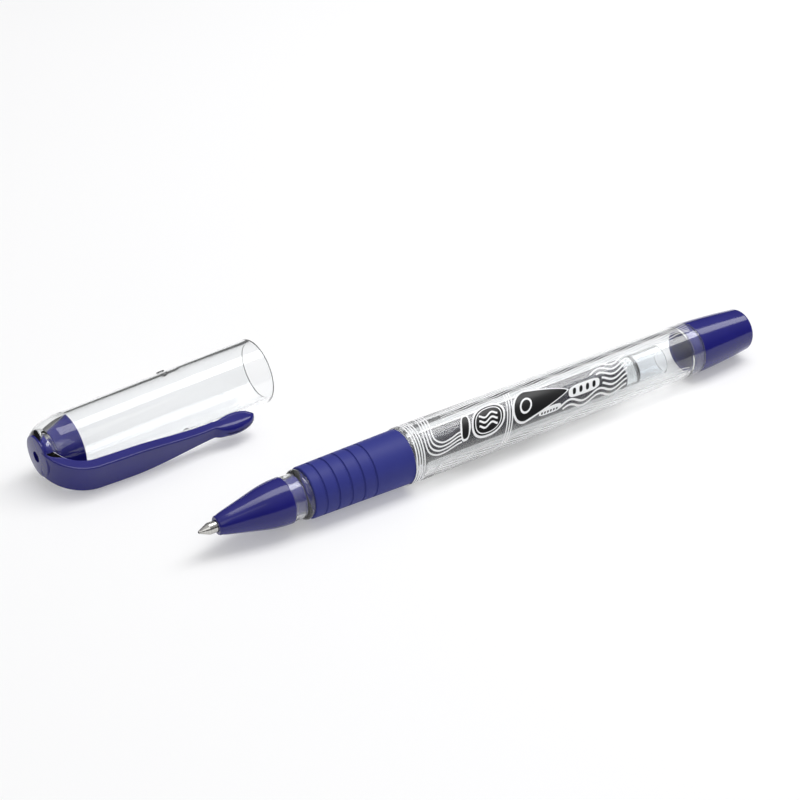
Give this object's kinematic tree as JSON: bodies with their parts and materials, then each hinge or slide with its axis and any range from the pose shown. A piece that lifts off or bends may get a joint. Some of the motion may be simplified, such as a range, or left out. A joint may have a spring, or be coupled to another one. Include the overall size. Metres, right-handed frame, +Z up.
{
  "type": "gel pen",
  "caption": "Stick gel pen with clear barrel, ribbed rubber grip, blue nose cone and end plug, metal tip and visible refill; its clear cap with a blue clip lies beside it.",
  "frame": {"origin": "on the surface the pen lies on, under the middle of the pen and its cap together", "axes": "+X along the pen from the ball to the end plug, +Y from the pen towards the cap, +Z up"},
  "size_m": [0.1492, 0.0544, 0.0141],
  "materials": {
    "clear_plastic": "clear moulded polystyrene",
    "blue_plastic": "glossy dark blue moulded plastic",
    "grip_rubber": "matte dark blue rubber",
    "tip_metal": "turned nickel silver",
    "ball_metal": "polished tungsten carbide",
    "refill_plastic": "translucent polypropylene",
    "gel_ink": "wet blue gel ink",
    "follower_grease": "clear grease",
    "seal_rubber": "soft white sealing rubber",
    "print_white": "white printed lines",
    "print_black": "black printed shapes"
  },
  "bodies": {
    "barrel": {"barrel": "clear_plastic", "grip": "grip_rubber"},
    "front": {"nose_cone": "blue_plastic", "tip_body": "tip_metal", "tip_holder": "refill_plastic", "refill_tube": "refill_plastic", "ink_column": "gel_ink", "ink_follower": "follower_grease"},
    "ball": {"tip_ball": "ball_metal"},
    "plug": {"end_plug": "blue_plastic"},
    "cap": {"cap_shell": "clear_plastic", "cap_insert": "blue_plastic", "tip_seal": "seal_rubber"},
    "clip": {"clip_arm": "blue_plastic"}
  },
  "joints": [
    {"name": "cone_pull", "type": "slide", "parent": "barrel", "child": "front", "axis": [-1, 0, 0], "range_m": [0, 0.092]},
    {"name": "ball_roll", "type": "hinge", "parent": "front", "child": "ball", "pos_m": [-0.05906, -0.02142, 0.0058], "axis": [0, 1, 0], "continuous": true},
    {"name": "plug_pull", "type": "slide", "parent": "barrel", "child": "plug", "axis": [1, 0, 0], "range_m": [0, 0.01]},
    {"name": "cap_pull", "type": "slide", "parent": "barrel", "child": "cap", "axis": [-0.9976, -0.0698, 0], "range_m": [0, 0.045]},
    {"name": "clip_flex", "type": "hinge", "parent": "cap", "child": "clip", "pos_m": [-0.06465, 0.00837, 0.00397], "axis": [-0.0073, 0.2758, -0.9612], "range_deg": [-1, 6], "stiffness_Nm_per_rad": 0.6}
  ]
}
